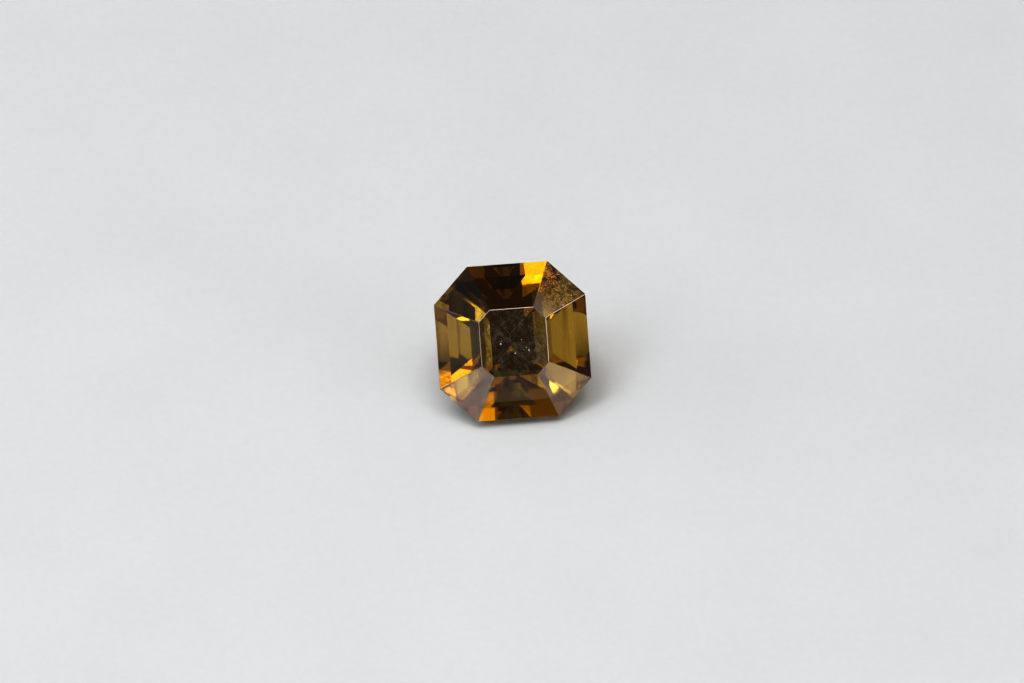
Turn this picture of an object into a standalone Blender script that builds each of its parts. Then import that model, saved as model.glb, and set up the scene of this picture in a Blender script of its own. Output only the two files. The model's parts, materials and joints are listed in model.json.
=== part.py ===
"""A loose tourmaline in a square step cut with cut corners, lying on one of its pavilion facets.

The stone is ground the way a cutter grinds it: a block is cut down by one flat facet after
another. It is cut upright, with its table up, and then tipped forward onto the pavilion facet
that it rests on. Units are metres, +Z is up, and the table faces the front (-Y) and up.
"""

import math

import bmesh
import bpy
from mathutils import Matrix, Vector

# Size of the whole stone, across two opposite sides of the girdle.
STONE_WIDTH = 0.008
HALF_WIDTH = STONE_WIDTH / 2

# Shares of the half width, measured from the stone's upright axis.
END_REACH = 1.022
CORNER_REACH = 1.098
TABLE_REACH = 0.440
TABLE_CORNER_REACH = 0.515
CROWN_HEIGHT = 0.320
GIRDLE_HEIGHT = 0.050

# Pavilion tiers from the girdle down: the facet's angle from the girdle plane in degrees,
# and how far from the axis the tier ends, as a share of the half width.
SIDE_TIERS = ((56.5, 0.71), (48.7, 0.265), (44.6, 0.0))
END_TIERS = ((58.2, 0.735), (50.4, 0.30), (45.0, 0.0))
CORNER_TIERS = ((69.4, 0.0),)

# The stone lies on the middle tier of its front end.
REST_ANGLE = END_TIERS[1][0]

SIDES = 8
TURN = 360 / SIDES
BLANK_SIZE = 4 * HALF_WIDTH
CUT_TOLERANCE = 1e-8
WELD_DISTANCE = 1e-7

AMBER_BROWN = (0.52, 0.27, 0.05, 1.0)
TOURMALINE_IOR = 1.63


def clear_scene():
    for obj in list(bpy.data.objects):
        bpy.data.objects.remove(obj, do_unlink=True)


def is_corner(side):
    return side % 2 == 1


def is_end(side):
    """The front and back sides, as against the left and right ones."""
    return side % 4 == 2


def outward(side):
    """Unit vector from the axis to the middle of one of the eight sides."""
    turn = math.radians(TURN * side)
    return Vector((math.cos(turn), math.sin(turn), 0.0))


def girdle_reach(side):
    if is_corner(side):
        return CORNER_REACH
    return END_REACH if is_end(side) else 1.0


def tiers_of(side):
    if is_corner(side):
        return CORNER_TIERS
    return END_TIERS if is_end(side) else SIDE_TIERS


def grind(stone, point, normal):
    """Cut off everything outside one plane and close the cut with a flat facet."""
    cut = bmesh.ops.bisect_plane(
        stone,
        geom=stone.verts[:] + stone.edges[:] + stone.faces[:],
        dist=CUT_TOLERANCE,
        plane_co=point,
        plane_no=normal,
        clear_outer=True,
    )
    rim = [item for item in cut["geom_cut"] if isinstance(item, bmesh.types.BMEdge)]
    if rim:
        bmesh.ops.edgeloop_fill(stone, edges=rim)


def grind_table(stone):
    grind(stone, Vector((0.0, 0.0, CROWN_HEIGHT * HALF_WIDTH)), Vector((0.0, 0.0, 1.0)))


def grind_girdle(stone, side):
    grind(stone, outward(side) * girdle_reach(side) * HALF_WIDTH, outward(side))


def grind_crown(stone, side):
    """One crown facet, from the table's edge down to the top of the girdle."""
    table_reach = TABLE_CORNER_REACH if is_corner(side) else TABLE_REACH
    slope_run = girdle_reach(side) - table_reach
    normal = outward(side) * CROWN_HEIGHT + Vector((0.0, 0.0, slope_run))
    grind(stone, outward(side) * girdle_reach(side) * HALF_WIDTH, normal.normalized())


def grind_pavilion(stone, side):
    """The tiers of one side, each starting where the tier above it ends."""
    reach = girdle_reach(side)
    depth = -GIRDLE_HEIGHT
    for angle, end_reach in tiers_of(side):
        slope = math.radians(angle)
        normal = outward(side) * math.sin(slope) - Vector((0.0, 0.0, math.cos(slope)))
        edge = (outward(side) * reach + Vector((0.0, 0.0, depth))) * HALF_WIDTH
        grind(stone, edge, normal)
        depth -= (reach - end_reach) * math.tan(slope)
        reach = end_reach


def cut_stone():
    stone = bmesh.new()
    bmesh.ops.create_cube(stone, size=BLANK_SIZE)
    for side in range(SIDES):
        grind_girdle(stone, side)
    grind_table(stone)
    for side in range(SIDES):
        grind_crown(stone, side)
        grind_pavilion(stone, side)
    bmesh.ops.remove_doubles(stone, verts=stone.verts[:], dist=WELD_DISTANCE)
    bmesh.ops.recalc_face_normals(stone, faces=stone.faces[:])
    return stone


def lay_on_facet(stone):
    """Tip the stone forward onto its resting facet, and centre it over the origin."""
    bmesh.ops.rotate(
        stone,
        verts=stone.verts[:],
        cent=(0.0, 0.0, 0.0),
        matrix=Matrix.Rotation(math.radians(REST_ANGLE), 3, "X"),
    )
    lows = [min(vert.co[axis] for vert in stone.verts) for axis in range(3)]
    highs = [max(vert.co[axis] for vert in stone.verts) for axis in range(3)]
    to_origin = Vector((-(lows[0] + highs[0]) / 2, -(lows[1] + highs[1]) / 2, -lows[2]))
    bmesh.ops.translate(stone, verts=stone.verts[:], vec=to_origin)


def tourmaline_material():
    """Clear golden-brown crystal with a high polish."""
    material = bpy.data.materials.new("golden_brown_tourmaline")
    material.use_nodes = True
    shader = material.node_tree.nodes["Principled BSDF"]
    shader.inputs["Base Color"].default_value = AMBER_BROWN
    shader.inputs["Roughness"].default_value = 0.02
    shader.inputs["Metallic"].default_value = 0.0
    shader.inputs["IOR"].default_value = TOURMALINE_IOR
    shader.inputs["Transmission Weight"].default_value = 1.0
    return material


def make_gemstone():
    stone = cut_stone()
    lay_on_facet(stone)
    mesh = bpy.data.meshes.new("tourmaline_gemstone")
    stone.to_mesh(mesh)
    stone.free()
    mesh.materials.append(tourmaline_material())
    gemstone = bpy.data.objects.new("tourmaline_gemstone", mesh)
    bpy.context.scene.collection.objects.link(gemstone)
    return gemstone


clear_scene()
make_gemstone()
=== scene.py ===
"""A loose golden-brown tourmaline: the polish and colour of its facets, and a small studio.

The file is laid out as a Blender add-skin. Run as a script, it makes every piece in order.
"""

import json
import math

import bmesh
import bpy
from bpy.props import FloatProperty, FloatVectorProperty, PointerProperty
from mathutils import Matrix, Vector
from mathutils.geometry import intersect_point_line


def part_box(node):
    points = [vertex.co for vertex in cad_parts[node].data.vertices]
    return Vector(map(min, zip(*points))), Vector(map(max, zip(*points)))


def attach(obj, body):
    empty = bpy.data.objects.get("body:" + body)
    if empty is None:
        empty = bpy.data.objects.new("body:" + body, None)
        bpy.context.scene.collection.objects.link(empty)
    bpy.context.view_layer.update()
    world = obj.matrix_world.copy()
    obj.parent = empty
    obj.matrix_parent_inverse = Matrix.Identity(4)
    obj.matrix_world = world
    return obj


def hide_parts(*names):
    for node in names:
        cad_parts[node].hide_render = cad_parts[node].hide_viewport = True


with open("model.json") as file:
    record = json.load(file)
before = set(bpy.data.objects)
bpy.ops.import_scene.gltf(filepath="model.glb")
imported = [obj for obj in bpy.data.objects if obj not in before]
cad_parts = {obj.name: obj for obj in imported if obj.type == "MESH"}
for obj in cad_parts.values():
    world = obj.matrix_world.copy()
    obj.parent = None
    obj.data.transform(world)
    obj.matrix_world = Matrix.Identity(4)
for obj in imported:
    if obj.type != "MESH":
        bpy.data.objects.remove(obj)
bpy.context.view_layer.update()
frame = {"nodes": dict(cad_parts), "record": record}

bl_info = {
    "name": "Step-Cut Tourmaline",
    "version": (1, 0, 0),
    "blender": (4, 5, 0),
    "location": "3D View > Sidebar > Tourmaline",
    "description": "Polishes a loose step-cut tourmaline and lights it on a plain table",
    "category": "Object",
}

STONE = "tourmaline_gemstone"
STONE_LOW, STONE_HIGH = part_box(STONE)
TABLE = next(mount for mount in frame["record"]["mounts"] if mount["name"] == "table")
TABLE_AXIS = Vector(TABLE["axis"]).normalized()
TABLE_CENTRE = Vector(TABLE["pos_m"])
MILLIMETRE = 0.001
IN_MILLIMETRES = (MILLIMETRE, MILLIMETRE, MILLIMETRE)
ACROSS = Vector((1.0, 0.0, 0.0))
UP_THE_TABLE = TABLE_AXIS.cross(ACROSS).normalized()
TIP_ANGLE = math.atan2(-TABLE_AXIS.y, TABLE_AXIS.z)
STONE_CENTRE = 0.5 * (STONE_LOW + STONE_HIGH)


# ---------------------------------------------------------------- shader arithmetic


class Value:
    """A shader socket. Arithmetic on it adds Math nodes, so a formula reads as one."""

    def __init__(self, graph, socket):
        self.graph = graph
        self.socket = socket

    def calculate(self, operation, *numbers, clamp=False):
        return self.graph.math(operation, *numbers, clamp=clamp)

    def __add__(self, other):
        return self.calculate("ADD", self, other)

    __radd__ = __add__

    def __mul__(self, other):
        return self.calculate("MULTIPLY", self, other)

    __rmul__ = __mul__

    def __sub__(self, other):
        return self.calculate("SUBTRACT", self, other)

    def __rsub__(self, other):
        return self.calculate("SUBTRACT", other, self)

    def clamped(self):
        return self.calculate("ADD", self, 0.0, clamp=True)

    def above(self, edge, softness):
        """0 below the edge and 1 above it, over a soft step."""
        return self.calculate("DIVIDE", self - edge, softness, clamp=True)

    def below(self, edge, softness):
        return 1 - self.above(edge, softness)


class Graph:
    """The node tree of one material or world."""

    def __init__(self, owner):
        owner.use_nodes = True
        self.tree = owner.node_tree
        self.tree.nodes.clear()

    def node(self, kind, settings=None, **sockets):
        """Add a node: its settings first, then values or links for the sockets named."""
        added = self.tree.nodes.new(kind)
        for name, value in (settings or {}).items():
            setattr(added, name, value)
        for name, value in sockets.items():
            self.feed(added.inputs[name.replace("_", " ")], value)
        return added

    def feed(self, socket, value):
        if isinstance(value, Value):
            value = value.socket
        if isinstance(value, bpy.types.NodeSocket):
            self.tree.links.new(value, socket)
        else:
            socket.default_value = value

    def math(self, operation, *numbers, clamp=False):
        added = self.tree.nodes.new("ShaderNodeMath")
        added.operation = operation
        added.use_clamp = clamp
        for socket, number in zip(added.inputs, numbers):
            self.feed(socket, number)
        return Value(self, added.outputs[0])

    def value(self, node, output=0):
        return Value(self, node.outputs[output])

    def mapped(self, place, **sockets):
        """The same place, in a frame that is moved, turned or stretched."""
        return self.node(
            "ShaderNodeMapping", {"vector_type": "TEXTURE"}, Vector=place, **sockets
        ).outputs["Vector"]

    def noise(self, place, scale, detail, roughness=0.5):
        """Soft random cloud, from 0 to 1."""
        return self.value(
            self.node(
                "ShaderNodeTexNoise",
                Vector=place,
                Scale=scale,
                Detail=detail,
                Roughness=roughness,
            )
        )

    def specks(self, place, scale, radius, share):
        """Sparse round specks, 1 inside and 0 outside. Only a share of the cells has one."""
        cells = self.node("ShaderNodeTexVoronoi", Vector=place, Scale=scale)
        chosen = self.value(self.node("ShaderNodeSeparateColor", Color=cells.outputs["Color"]))
        inside = self.value(cells).below(radius, SPECK_RIM * radius)
        return inside * chosen.below(share, CHOICE_RIM)

    def mark(self, name):
        """A number kept on each facet of the mesh."""
        reader = self.node("ShaderNodeAttribute", {"attribute_name": name})
        return Value(self, reader.outputs["Fac"])

    def mix_colour(self, factor, first, second):
        blend = self.node("ShaderNodeMix", {"data_type": "RGBA"})
        self.feed(blend.inputs["Factor"], factor)
        self.feed(blend.inputs[COLOUR_A], first)
        self.feed(blend.inputs[COLOUR_B], second)
        return blend.outputs[COLOUR_RESULT]

    def bump(self, height, depth):
        """Surface relief: the height runs from 0 to 1 and the depth is in metres."""
        return self.node("ShaderNodeBump", Distance=depth, Height=height).outputs["Normal"]


# The colour sockets of a Mix node, which shares its names with its other kinds.
COLOUR_A, COLOUR_B, COLOUR_RESULT = 6, 7, 2

# How soft a speck's rim is, as a share of its radius, and how sharply its cell is chosen.
SPECK_RIM = 0.5
CHOICE_RIM = 0.01


def opaque(colour):
    """A colour with the fourth number that Blender's colour sockets expect."""
    return (*colour, 1.0)


# ---------------------------------------------------------------- settings


class StoneSettings(bpy.types.PropertyGroup):
    """Sizes and colours of the tourmaline."""

    worn_width: FloatProperty(
        name="Worn edge width",
        description="Width of the rounding along the worn edges of the table and crown",
        default=0.000036,
        unit="LENGTH",
        precision=6,
    )
    crisp_width: FloatProperty(
        name="Crisp edge width",
        description="Width of the tiny rounding along every other edge",
        default=0.000012,
        unit="LENGTH",
        precision=6,
    )
    refractive_index: FloatProperty(
        name="Refractive index",
        description="How strongly the crystal bends light",
        default=1.632,
    )
    depth_colour: FloatVectorProperty(
        name="Depth colour",
        description="Colour that white light keeps on its way through the crystal",
        default=(0.762, 0.619, 0.024),
        subtype="COLOR",
        size=3,
    )
    depth_density: FloatProperty(
        name="Depth density",
        description="How fast the colour deepens with thickness, per metre",
        default=474.0,
    )
    # Also the colour of the painted highlight lines along the table, ridge and girdle edges.
    wear_and_highlight_colour: FloatVectorProperty(
        name="Wear colour",
        description="Colour of chipped edges, scratches and dust",
        default=(0.64, 0.53, 0.48),
        subtype="COLOR",
        size=3,
    )
    # The film's mauve grey is partly a painted sheen: on the front corner facets and the knocked
    # corner it stands in for the reflection of bright light.
    film_colour: FloatVectorProperty(
        name="Film colour",
        description="Colour of the thin dull film on worn facets",
        default=(0.42, 0.34, 0.35),
        subtype="COLOR",
        size=3,
    )
    stain_colour: FloatVectorProperty(
        name="Stain colour",
        description="Colour of the faint brown stain in the film",
        default=(0.62, 0.48, 0.30),
        subtype="COLOR",
        size=3,
    )
    dust_colour: FloatVectorProperty(
        name="Dust colour",
        description="Colour of the fine grey dust that lies on the table of the stone",
        default=(0.42, 0.43, 0.35),
        subtype="COLOR",
        size=3,
    )
    relief_depth: FloatProperty(
        name="Relief depth",
        description="Depth of the polishing lines and pits",
        default=0.0000006,
        unit="LENGTH",
        precision=7,
    )


class StudioSettings(bpy.types.PropertyGroup):
    """The table that the stone lies on, the lights and the camera."""

    floor_colour: FloatVectorProperty(
        name="Floor colour",
        description="Colour of the plain pale table",
        default=(0.66, 0.65, 0.632),
        subtype="COLOR",
        size=3,
    )
    camera_azimuth: FloatProperty(
        name="Camera azimuth",
        description="How far the camera stands round from the front, to the right",
        default=math.radians(-3.5),
        subtype="ANGLE",
    )
    camera_elevation: FloatProperty(
        name="Camera elevation",
        description="Angle at which the camera looks down on the stone",
        default=math.radians(41.3),
        subtype="ANGLE",
    )
    camera_distance: FloatProperty(
        name="Camera distance",
        description="From the lens to the stone",
        default=0.26,
        unit="LENGTH",
    )
    frame_width: FloatProperty(
        name="Frame width",
        description="Width of the picture where the stone lies",
        default=0.0541,
        unit="LENGTH",
    )
    camera_roll: FloatProperty(
        name="Camera roll",
        description="How far the camera is turned about its own line of sight",
        default=math.radians(1.9),
        subtype="ANGLE",
    )


# ---------------------------------------------------------------- the stone

WELD_DISTANCE = 1e-6
FLATNESS = math.radians(0.2)
SHARP_ANGLE = math.radians(1.0)
EDGE_SEGMENTS = 2
ROUND_PROFILE = 0.5

# A facet's rise is its normal's share along the table's axis: 1 on the table and 0 on the girdle.
TABLE_RISE = 0.99
GIRDLE_RISE = 0.1
BEARINGS = (
    "right",
    "back right",
    "back",
    "back left",
    "left",
    "front left",
    "front",
    "front right",
)

# How strong the dull film is on each crown facet. On the front left, front right and back right
# facets it is mostly a painted sheen, standing in for the reflection of bright low light in them.
CROWN_FILM_AND_SHEEN = {
    "right": 0.03,
    "back right": 0.3,
    "back": 0.01,
    "back left": 0.01,
    "left": 0.02,
    "front left": 0.4,
    "front": 0.02,
    "front right": 0.34,
}
TABLE_FILM = 0.025

# One old knock left a rough corner on this side of the crown.
KNOCKED_BEARING = "back right"

# How pale each edge is: the edges of the table, the ridges between crown facets, and the
# edges between the crown and the girdle. On the table and the ridges the pale lines are partly
# wear and partly painted highlights; on the girdle they are a painted glint of light shining
# through the rounded girdle.
TABLE_EDGE_WEAR_AND_HIGHLIGHT = {
    "right": 1.0,
    "back right": 0.35,
    "back": 1.0,
    "back left": 0.45,
    "left": 0.6,
    "front left": 0.35,
    "front": 0.05,
    "front right": 0.15,
}
RIDGE_WEAR_AND_HIGHLIGHT = {
    ("back right", "right"): 1.0,
    ("back", "back right"): 0.25,
    ("back left", "left"): 0.25,
    ("front left", "left"): 0.25,
}
# Painted glint: the pale girdle edges stand in for light shining through the rounded girdle.
GIRDLE_GLINT = {"front": 0.5, "front right": 0.4, "right": 0.3, "left": 0.25}
GIRDLE_GLINT_ELSEWHERE = 0.1

# An edge whose wear and painted highlight is more than this is rounded wide, and the others are
# crisp.
PALE_EDGE_THRESHOLD = 0.2

# How much fine dust lies on each crown facet.
FINE_DUST = {"right": 1.0, "left": 0.6, "front right": 0.6, "front left": 0.5, "front": 0.5}
FINE_DUST_ELSEWHERE = 0.2

# Specks of dust on the table: right of its middle, up from its middle and radius, in millimetres.
TABLE_DUST = (
    (-0.69, -0.05, 0.055),
    (0.76, -0.48, 0.05),
    (0.03, -0.59, 0.045),
    (0.41, 0.10, 0.03),
    (0.63, -0.32, 0.03),
)

# The numbers that the mesh keeps on each of its faces.
MARKS = ("edge_wear", "film", "pits", "dust", "fine_dust", "grain")


def kind_of(facet):
    """Which facet it is: its zone, and where it faces seen square to the table."""
    normal = facet.normal
    rise = normal.dot(TABLE_AXIS)
    turn = math.atan2(normal.dot(UP_THE_TABLE), normal.dot(ACROSS)) / math.tau
    bearing = BEARINGS[round(turn * len(BEARINGS)) % len(BEARINGS)]
    if rise > TABLE_RISE:
        return "table", "up"
    if rise > GIRDLE_RISE:
        return "crown", bearing
    if rise > -GIRDLE_RISE:
        return "girdle", bearing
    return "pavilion", bearing


def edge_wear_of(edge):
    """How pale an edge is, as wear and painted highlight, from the two facets that meet on it."""
    kinds = sorted(kind_of(face) for face in edge.link_faces)
    (zone, bearing), (other_zone, other_bearing) = kinds
    if other_zone == "table":
        return TABLE_EDGE_WEAR_AND_HIGHLIGHT[bearing]
    if zone == other_zone == "crown":
        return RIDGE_WEAR_AND_HIGHLIGHT.get((bearing, other_bearing), 0.0)
    if zone == "crown":
        return GIRDLE_GLINT.get(bearing, GIRDLE_GLINT_ELSEWHERE)
    return 0.0


def facets_of(node):
    """The cut solid, with its triangles joined back into whole flat facets."""
    facets = bmesh.new()
    facets.from_mesh(frame["nodes"][node].data)
    bmesh.ops.remove_doubles(facets, verts=facets.verts[:], dist=WELD_DISTANCE)
    bmesh.ops.dissolve_limit(
        facets,
        angle_limit=FLATNESS,
        verts=facets.verts[:],
        edges=facets.edges[:],
    )
    facets.normal_update()
    return facets


def distance_to(segment, point):
    """From a point to the nearest place on a straight edge, which is given by its two ends."""
    nearest, share = intersect_point_line(point, *segment)
    start, end = segment
    if share < 0:
        nearest = start
    if share > 1:
        nearest = end
    return (nearest - point).length


def round_edges(facets, edges, width):
    """Bevel the edges to the width given, and return the narrow faces that this makes."""
    return bmesh.ops.bevel(
        facets,
        geom=edges,
        offset=width,
        offset_type="WIDTH",
        segments=EDGE_SEGMENTS,
        affect="EDGES",
        profile=ROUND_PROFILE,
    )["faces"]


def polish(facets, worn_width, crisp_width):
    """Round the worn edges and the crisp ones, and note on each face how it is worn and where
    painted highlights lie.
    """
    marks = {name: facets.faces.layers.float.new(name) for name in MARKS}
    for face in facets.faces:
        zone, bearing = kind_of(face)
        if zone == "table":
            face[marks["film"]] = TABLE_FILM
            face[marks["dust"]] = 1.0
        if zone == "crown":
            face[marks["film"]] = CROWN_FILM_AND_SHEEN[bearing]
            face[marks["pits"]] = float(bearing == KNOCKED_BEARING)
            face[marks["fine_dust"]] = FINE_DUST.get(bearing, FINE_DUST_ELSEWHERE)
        if zone == "pavilion":
            face[marks["grain"]] = 1.0
    # Pale edges carry wear, and along the table, the ridges and the girdle, painted highlight and
    # glint lines.
    wear = {edge: edge_wear_of(edge) for edge in facets.edges}
    worn = [edge for edge in facets.edges if wear[edge] > PALE_EDGE_THRESHOLD]
    places = [(tuple(vert.co.copy() for vert in edge.verts), wear[edge]) for edge in worn]
    rounded = round_edges(facets, worn, worn_width)
    for face in rounded:
        middle = face.calc_center_median()
        nearest = min(places, key=lambda place: distance_to(place[0], middle))
        for name in MARKS:
            face[marks[name]] = 0.0
        face[marks["edge_wear"]] = nearest[1]
    soft = set(rounded)
    crisp = [
        edge
        for edge in facets.edges
        if edge.calc_face_angle(0.0) > SHARP_ANGLE and not soft.intersection(edge.link_faces)
    ]
    for face in round_edges(facets, crisp, crisp_width):
        for name in MARKS:
            face[marks[name]] = 0.0


# The crystal's own tints: clear, faintly stained, a band of deeper growth colour, and the bruise
# under the knocked corner.
CLEAR_GLASS = (1.0, 1.0, 1.0, 1.0)
STAINED_GLASS = (0.99, 0.97, 0.93, 1.0)
DEEPER_GLASS = (0.26, 0.18, 0.10, 1.0)
BRUISED_GLASS = (0.10, 0.06, 0.05, 1.0)

# Soft clouds over the stone: scale per millimetre, detail and roughness.
CLOUD = (1.1, 5.0, 0.62)
MOTTLE = (3.4, 5.0, 0.7)
FINE_GRAIN = (24.0, 2.0, 0.5)
WAVES = (0.9, 2.0, 0.5)
DENTS = (5.5, 4.0, 0.7)

# Streaks and growth bands are clouds too, in steps of their own size across the stone, along it
# and square to the table, in millimetres.
STREAK_SIZE = (0.06, 1.6, 0.06)
STREAKS = (1.0, 3.0, 0.6)
BAND_SIZE = (0.3, 9.0, 0.6)
BANDS = (1.0, 2.0, 0.4)

# Where each soft step begins and how wide it is. The knock's is in millimetres from the table's
# middle towards the knocked corner, and the others are on a cloud's scale from 0 to 1.
KNOCK_STEP = (2.1, 1.0)
BRUISE_STEP = (0.44, 0.12)
POLISHED_PATCHES = (0.3, 0.4)
STAIN_STEP = (0.42, 0.3)
BAND_STEP = (0.5, 0.12)
DULLED_GRAIN = (0.6, 0.2)
CHIPPED_PATCHES = (0.4, 0.2)
BROKEN_PALE_EDGES = (0.1, 0.3)
SCRATCH_STEP = (0.62, 0.06)
SCRATCHED_PATCHES = (0.45, 0.2)
BROWN_FILM_AND_SHEEN_STEP = (0.4, 0.3)
DUST_SPOTS = (0.42, 0.2)
DUSTY_PATCHES = (0.35, 0.3)

# Specks: scale per millimetre, radius as a share of a cell, and share of the cells with one.
SMALL_SPECKS = (6.0, 0.1, 0.1)
CHIPS = (9.0, 0.22, 0.5)

# Depths of the relief, as shares of the relief depth in the settings.
WAVE_DEPTH = 3
DENT_DEPTH = 2
KNOCK_DEPTH = 30

# How strongly each pattern shows, and how rough it leaves the surface.
BAND_STRENGTH = 0.85
SPECK_STRENGTH = 0.5
CHIP_STRENGTH = 0.7
DUST_STRENGTH = 0.17
SCRATCH_STRENGTH = 0.15
# The film's share also carries the painted sheen on the front corner facets and the knocked
# corner.
FILM_AND_SHEEN_EVENLY = 0.6
FILM_AND_SHEEN_IN_CLOUDS = 0.8
FILM_AND_SHEEN_KNOCKED_OFF = 0.8
KNOCKED_ROUGHNESS = 0.1
GRAIN_ROUGHNESS = 0.004
DULL_ROUGHNESS = 0.5


class Skin:
    """The marks and soft clouds on the surface, from which the finish of the stone, with its
    painted sheen and painted highlights, is mixed.
    """

    def __init__(self, graph):
        place = graph.node("ShaderNodeTexCoord").outputs["Object"]
        self.upright = graph.mapped(
            place, Location=TABLE_CENTRE, Rotation=(TIP_ANGLE, 0.0, 0.0), Scale=IN_MILLIMETRES
        )
        lengthwise = graph.mapped(self.upright, Scale=STREAK_SIZE)
        growth = graph.mapped(self.upright, Scale=BAND_SIZE)
        axes = graph.node("ShaderNodeSeparateXYZ", Vector=self.upright)
        self.across, self.up = graph.value(axes, 0), graph.value(axes, 1)
        towards_knock = (self.across + self.up) * math.sqrt(0.5)
        marks = (graph.mark(name) for name in MARKS)
        self.edge_wear, self.film, self.pits, self.dust, self.fine_dust, self.grain = marks
        self.cloud = graph.noise(self.upright, *CLOUD)
        self.mottle = graph.noise(self.upright, *MOTTLE)
        self.fine = graph.noise(self.upright, *FINE_GRAIN)
        self.streaks = graph.noise(lengthwise, *STREAKS)
        self.waves = graph.noise(self.upright, *WAVES)
        self.dents = graph.noise(self.upright, *DENTS)
        self.bands = graph.noise(growth, *BANDS)
        self.knocked = self.pits * towards_knock.above(*KNOCK_STEP)


def surface_relief(graph, skin, depth):
    """Waves and lines of hand polishing underneath, and pits round the knocked corner."""
    polish_lines = skin.streaks * skin.cloud.above(*POLISHED_PATCHES)
    polishing = skin.grain * (skin.waves * WAVE_DEPTH + polish_lines)
    pitting = skin.dents * skin.pits * (skin.knocked * KNOCK_DEPTH + DENT_DEPTH)
    return graph.bump(polishing + pitting, depth)


def crystal_shader(graph, skin, settings, relief):
    """Clear crystal, tinted where light enters it through stained or banded growth."""
    glass = graph.mix_colour(skin.mottle.above(*STAIN_STEP), CLEAR_GLASS, STAINED_GLASS)
    banded = skin.grain * skin.bands.above(*BAND_STEP) * BAND_STRENGTH
    glass = graph.mix_colour(banded, glass, DEEPER_GLASS)
    bruised = skin.knocked * skin.dents.above(*BRUISE_STEP)
    fine_marks = skin.fine.above(*DULLED_GRAIN) * GRAIN_ROUGHNESS
    return graph.node(
        "ShaderNodeBsdfPrincipled",
        Base_Color=graph.mix_colour(bruised, glass, BRUISED_GLASS),
        Roughness=skin.knocked * KNOCKED_ROUGHNESS + fine_marks,
        IOR=settings.refractive_index,
        Transmission_Weight=1.0,
        Normal=relief,
    )


def pale_marks_and_highlights(graph, skin):
    """Where the surface is pale: on worn edges, partly wear and partly painted highlight and
    glint, on chips and on specks of dust.
    """
    small_specks = graph.specks(skin.upright, *SMALL_SPECKS) * (skin.dust + skin.fine_dust)
    chips = graph.specks(skin.upright, *CHIPS) * skin.knocked * skin.mottle.above(*CHIPPED_PATCHES)
    # Pale edge lines: partly wear, partly painted highlight, and on the girdle a painted glint.
    worn = skin.edge_wear * skin.fine.above(*BROKEN_PALE_EDGES)
    pale = worn + small_specks * SPECK_STRENGTH + chips * CHIP_STRENGTH
    for right_of_middle, above_middle, radius in TABLE_DUST:
        aside = skin.across - right_of_middle
        above = skin.up - above_middle
        distance = graph.math("SQRT", aside * aside + above * above)
        core = (1 - SPECK_RIM) * radius
        pale = pale + skin.dust * distance.below(core, SPECK_RIM * radius)
    return pale.clamped()


def dull_and_sheen_shader(graph, skin, settings, pale, relief):
    """The film with its painted sheen, the dust, and the pale marks with their painted highlights
    that lie over the crystal.
    """
    film = graph.mix_colour(
        skin.cloud.above(*BROWN_FILM_AND_SHEEN_STEP),
        opaque(settings.film_colour),
        opaque(settings.stain_colour),
    )
    film_sheen_and_dust = graph.mix_colour(skin.dust, film, opaque(settings.dust_colour))
    return graph.node(
        "ShaderNodeBsdfPrincipled",
        Base_Color=graph.mix_colour(pale, film_sheen_and_dust, opaque(settings.wear_and_highlight_colour)),
        Roughness=DULL_ROUGHNESS,
        Normal=relief,
    )


def dull_and_sheen_share(skin, pale):
    """How much of the clear polish the film and painted sheen, the dust, the scratches and the
    pale marks hide.
    """
    film = skin.film * (skin.cloud * FILM_AND_SHEEN_IN_CLOUDS + FILM_AND_SHEEN_EVENLY)
    film = film * (1 - skin.knocked * FILM_AND_SHEEN_KNOCKED_OFF)
    dust = skin.mottle.above(*DUST_SPOTS) * skin.cloud.above(*DUSTY_PATCHES) * DUST_STRENGTH
    scratches = skin.streaks.above(*SCRATCH_STEP) * skin.cloud.above(*SCRATCHED_PATCHES)
    table_wear = skin.dust * (dust + scratches * SCRATCH_STRENGTH)
    return (film + table_wear + pale).clamped()


def tourmaline_material(settings):
    """Clear crystal with its colour in its depth, under a finely worn and dusty polish, with a
    painted sheen on some crown facets and painted highlights along some edges.
    """
    material = bpy.data.materials.new("cut_tourmaline")
    graph = Graph(material)
    skin = Skin(graph)
    relief = surface_relief(graph, skin, settings.relief_depth)
    pale = pale_marks_and_highlights(graph, skin)
    crystal = crystal_shader(graph, skin, settings, relief)
    dull = dull_and_sheen_shader(graph, skin, settings, pale, relief)
    surface = graph.node("ShaderNodeMixShader")
    graph.feed(surface.inputs[0], dull_and_sheen_share(skin, pale))
    graph.feed(surface.inputs[1], crystal.outputs["BSDF"])
    graph.feed(surface.inputs[2], dull.outputs["BSDF"])
    depth = graph.node(
        "ShaderNodeVolumeAbsorption",
        Color=opaque(settings.depth_colour),
        Density=settings.depth_density,
    )
    graph.node(
        "ShaderNodeOutputMaterial",
        Surface=surface.outputs["Shader"],
        Volume=depth.outputs["Volume"],
    )
    return material


class GEM_OT_stone(bpy.types.Operator):
    """Polish the cut stone: flat facets with finely worn edges, painted highlight lines and a
    painted sheen, in clear golden-brown crystal
    """

    bl_idname = "gem.stone"
    bl_label = "Polished Stone"

    def execute(self, context):
        settings = context.scene.tourmaline_stone
        facets = facets_of(STONE)
        polish(facets, settings.worn_width, settings.crisp_width)
        mesh = bpy.data.meshes.new("polished_tourmaline")
        facets.to_mesh(mesh)
        facets.free()
        mesh.materials.append(tourmaline_material(settings))
        stone = bpy.data.objects.new("polished_tourmaline", mesh)
        context.scene.collection.objects.link(stone)
        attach(stone, "root")
        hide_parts(STONE)
        return {"FINISHED"}


# ---------------------------------------------------------------- the studio

PANEL_DISTANCE = 0.5
DAYLIGHT = (0.95, 1.0, 1.08)
WHITE_LIGHT = (1.0, 1.0, 1.0)

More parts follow.
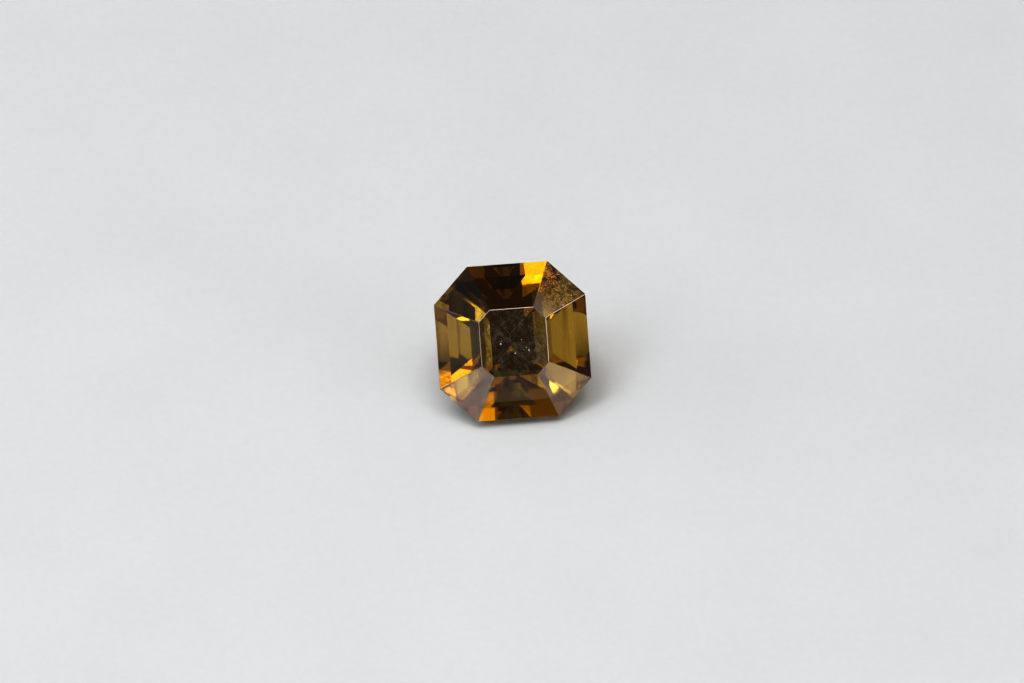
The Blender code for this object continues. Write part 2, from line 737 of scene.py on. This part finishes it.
# A panel's rim, as a share of its width or height, and what is left of its light there.
RIM_SHARE = 0.1
RIM_GLOW = (0.1, 0.1, 0.1, 1.0)
FULL_GLOW = (1.0, 1.0, 1.0, 1.0)

# The studio's soft screens: azimuth and elevation of the middle, half width and half height, all
# in degrees as the stone sees them, and brightness. Low screens stand round the table, the high
# ones hang over it, mostly to the left.
SCREENS = {
    "right_screen": (55, 1, (9, 25), 2.1),
    "back_right_screen": (114, 3, (32, 10.5), 0.98),
    "front_right_screen": (38, 6, (10, 33), 0.56),
    "front_screen": (-7, 8, (7, 6.5), 2.0),
    "front_left_screen": (-40, 18, (6.5, 24), 0.38),
    "left_screen": (-82, 14, (16.5, 16.5), 0.35),
    "back_left_screen": (-106, 18, (20, 22), 0.27),
    "right_window": (83, 38, (10, 9.5), 0.32),
    "left_window": (-65, 33, (9.5, 15.5), 0.9),
    "left_transom": (-55, 41, (6, 3), 3.5),
    "high_left_window": (-62, 56, (6, 9.5), 4.8),
    "high_back_window": (-118, 62, (8.5, 4), 1.8),
    "high_back_screen": (-118, 64, (35, 9.5), 0.2),
    "ceiling_screen": (-19, 69, (20, 22), 0.6),
    "ceiling_strip": (-101, 76, (21, 2.6), 3.7),
}

# Small bright lamps, each of which wakes one flash in the stone.
SPARKS = {
    "upper_right_spark": (-119, 60, (5, 4), 4.25),
    "left_spark": (-90, 30, (3, 3), 5.4),
    "lower_left_spark": (-65, 42, (3, 3), 3.6),
    "overhead_spark": (24, 72, (3.5, 3.5), 7.0),
    "front_spark": (-6, 6, (4, 4), 4.0),
    "front_right_spark": (40, 6, (5, 4), 1.8),
}

# The lamp that lights the table for the camera, in the same terms as the screens.
OVERHEAD = (20, 78, (24, 24), 1.35)
ROOM_COLOUR = (0.105, 0.105, 0.108)

# The table top and the dark card that only the crystal sees: reach to the left, right, front and
# back, and level. Both lie just under the stone. The card is painted shade: a dark sheet seen only
# through the crystal, standing in for the stone's shadow and a dark ground under it.
FLOOR_REACH = (0.6, 0.6, 0.6, 0.6)
FLOOR_LEVEL = -0.0001
CARD_REACH = (0.0018, 0.0284, 0.0073, 0.0021)
CARD_LEVEL = -0.00004
CARD_COLOUR = (0.045, 0.045, 0.05)

# The matt paint on both: its soft unevenness and its fine tooth, as scale per millimetre and
# detail, and how they show.
PAINT_CLOUD = (0.12, 4.0)
PAINT_TOOTH = (2.5, 3.0)
PAINT_CLOUD_SHARE = 0.6
PAINT_STEP = (0.3, 0.4)
PAINT_UNEVENNESS = 0.04
PAINT_ROUGHNESS = 0.62
TOOTH_ROUGHNESS = 0.2
TOOTH_DEPTH = 0.00001

# The camera aims this far from the middle of the stone.
AIM_OFFSET = Vector((0.00001, 0.0, -0.00044))

# The sensor's width is in millimetres, as Blender's focal lengths are.
SENSOR_WIDTH = 36.0
NEAREST_VIEW = 0.01

# How often light may turn inside the crystal before it is given up.
INNER_BOUNCES = 24


def look_at(thing, target, roll=0.0):
    """Turn a lamp or a camera towards the target, and then about its own line of sight."""
    towards = (target - thing.location).normalized()
    facing = towards.to_track_quat("-Z", "Y").to_matrix().to_4x4()
    thing.rotation_euler = (facing @ Matrix.Rotation(roll, 4, "Z")).to_euler()


def direction(azimuth, elevation):
    """Unit vector from the stone: azimuth 0 is the front, 90 the right, both in degrees."""
    turn, rise = math.radians(azimuth), math.radians(elevation)
    return Vector(
        (math.sin(turn) * math.cos(rise), -math.cos(turn) * math.cos(rise), math.sin(rise))
    )


def fade_rim(lamp):
    """Let a panel's light fade out towards its rim, as it does behind cloth."""
    graph = Graph(lamp)
    place = graph.node("ShaderNodeNewGeometry").outputs["Parametric"]
    shares = graph.node("ShaderNodeSeparateXYZ", Vector=place)
    left, low = graph.value(shares, 0), graph.value(shares, 1)
    inside = left.above(0.0, RIM_SHARE) * (1 - left).above(0.0, RIM_SHARE)
    inside = inside * low.above(0.0, RIM_SHARE) * (1 - low).above(0.0, RIM_SHARE)
    glow = graph.node("ShaderNodeEmission", Color=graph.mix_colour(inside, RIM_GLOW, FULL_GLOW))
    graph.node("ShaderNodeOutputLight", Surface=glow.outputs["Emission"])


def softbox(context, name, azimuth, elevation, spread, brightness, tint):
    """A lit panel facing the stone. Its spread is half its width and height, in degrees, as
    the stone sees it."""
    width, height = (2 * PANEL_DISTANCE * math.tan(math.radians(half)) for half in spread)
    lamp = bpy.data.lights.new(name, "AREA")
    lamp.shape = "RECTANGLE"
    lamp.size, lamp.size_y = width, height
    lamp.color = tint
    lamp.energy = brightness * math.pi * width * height
    fade_rim(lamp)
    holder = bpy.data.objects.new(name, lamp)
    holder.location = STONE_CENTRE + direction(azimuth, elevation) * PANEL_DISTANCE
    context.scene.collection.objects.link(holder)
    look_at(holder, STONE_CENTRE)
    return holder


def flat_sheet(context, name, left, right, front, back, level):
    """A level rectangular sheet, from its reach on each side of the stone."""
    sheet = bmesh.new()
    corners = ((-left, -front), (right, -front), (right, back), (-left, back))
    sheet.faces.new([sheet.verts.new((x, y, level)) for x, y in corners])
    mesh = bpy.data.meshes.new(name)
    sheet.to_mesh(mesh)
    sheet.free()
    thing = bpy.data.objects.new(name, mesh)
    context.scene.collection.objects.link(thing)
    return thing


def matt_material(name, colour):
    """Matt paint with a faint unevenness and a fine tooth."""
    material = bpy.data.materials.new(name)
    graph = Graph(material)
    place = graph.node("ShaderNodeTexCoord").outputs["Object"]
    place = graph.mapped(place, Scale=IN_MILLIMETRES)
    cloud = graph.noise(place, *PAINT_CLOUD)
    tooth = graph.noise(place, *PAINT_TOOTH)
    uneven = cloud * PAINT_CLOUD_SHARE + tooth * (1 - PAINT_CLOUD_SHARE)
    darker = [channel * (1 - PAINT_UNEVENNESS) for channel in colour]
    shader = graph.node(
        "ShaderNodeBsdfPrincipled",
        Base_Color=graph.mix_colour(uneven.above(*PAINT_STEP), opaque(colour), opaque(darker)),
        Roughness=PAINT_ROUGHNESS + tooth * TOOTH_ROUGHNESS,
        Normal=graph.bump(tooth, TOOTH_DEPTH),
    )
    graph.node("ShaderNodeOutputMaterial", Surface=shader.outputs["BSDF"])
    return material


class GEM_OT_studio(bpy.types.Operator):
    """Set the table, the soft lights and the camera"""

    bl_idname = "gem.studio"
    bl_label = "Studio"

    def execute(self, context):
        settings = context.scene.tourmaline_studio
        self.make_floor(context, settings)
        self.make_lights(context)
        self.make_camera(context, settings)
        self.set_picture(context)
        return {"FINISHED"}

    def make_floor(self, context, settings):
        floor = flat_sheet(context, "table_top", *FLOOR_REACH, FLOOR_LEVEL)
        floor.data.materials.append(matt_material("pale_table", settings.floor_colour))
        # Painted shade: a dark card that only refraction and reflection see, in place of the
        # shadow and dark ground under the stone.
        card = flat_sheet(context, "shade_card", *CARD_REACH, CARD_LEVEL)
        card.data.materials.append(matt_material("painted_shade_paper", CARD_COLOUR))
        card.visible_camera = False
        card.visible_diffuse = False
        card.visible_shadow = False

    def make_lights(self, context):
        for name, screen in SCREENS.items():
            softbox(context, name, *screen, DAYLIGHT)
        for name, spark in SPARKS.items():
            softbox(context, name, *spark, WHITE_LIGHT)
        overhead = softbox(context, "overhead", *OVERHEAD, WHITE_LIGHT)
        overhead.visible_glossy = False
        overhead.visible_transmission = False
        world = bpy.data.worlds.new("soft_room")
        context.scene.world = world
        graph = Graph(world)
        background = graph.node("ShaderNodeBackground", Color=opaque(ROOM_COLOUR), Strength=1.0)
        graph.node("ShaderNodeOutputWorld", Surface=background.outputs["Background"])

    def make_camera(self, context, settings):
        lens = bpy.data.cameras.new("camera")
        lens.sensor_width = SENSOR_WIDTH
        lens.lens = lens.sensor_width * settings.camera_distance / settings.frame_width
        lens.clip_start = NEAREST_VIEW
        camera = bpy.data.objects.new("camera", lens)
        away = direction(
            math.degrees(settings.camera_azimuth), math.degrees(settings.camera_elevation)
        )
        aim = STONE_CENTRE + AIM_OFFSET
        camera.location = aim + away * settings.camera_distance
        context.scene.collection.objects.link(camera)
        look_at(camera, aim, -settings.camera_roll)
        context.scene.camera = camera

    def set_picture(self, context):
        """Set the contrast of the picture and how far light is followed."""
        context.scene.view_settings.view_transform = "Standard"
        context.scene.view_settings.look = "Very High Contrast"
        cycles = context.scene.cycles
        cycles.max_bounces = INNER_BOUNCES
        cycles.glossy_bounces = INNER_BOUNCES
        cycles.transmission_bounces = INNER_BOUNCES


class GEM_PT_panel(bpy.types.Panel):
    """Lists the steps that make the stone and its studio"""

    bl_idname = "GEM_PT_panel"
    bl_label = "Step-Cut Tourmaline"
    bl_space_type = "VIEW_3D"
    bl_region_type = "UI"
    bl_category = "Tourmaline"

    def draw(self, context):
        column = self.layout.column()
        for group in (context.scene.tourmaline_stone, context.scene.tourmaline_studio):
            for name in group.__annotations__:
                column.prop(group, name)
        for operator in STEPS:
            column.operator(operator.bl_idname)


STEPS = (GEM_OT_stone, GEM_OT_studio)
CLASSES = (StoneSettings, StudioSettings, *STEPS, GEM_PT_panel)


def register():
    for cls in CLASSES:
        bpy.utils.register_class(cls)
    bpy.types.Scene.tourmaline_stone = PointerProperty(type=StoneSettings)
    bpy.types.Scene.tourmaline_studio = PointerProperty(type=StudioSettings)


def unregister():
    del bpy.types.Scene.tourmaline_studio
    del bpy.types.Scene.tourmaline_stone
    for cls in reversed(CLASSES):
        bpy.utils.unregister_class(cls)


def main():
    register()
    bpy.ops.gem.stone()
    bpy.ops.gem.studio()


if __name__ == "__main__":
    main()
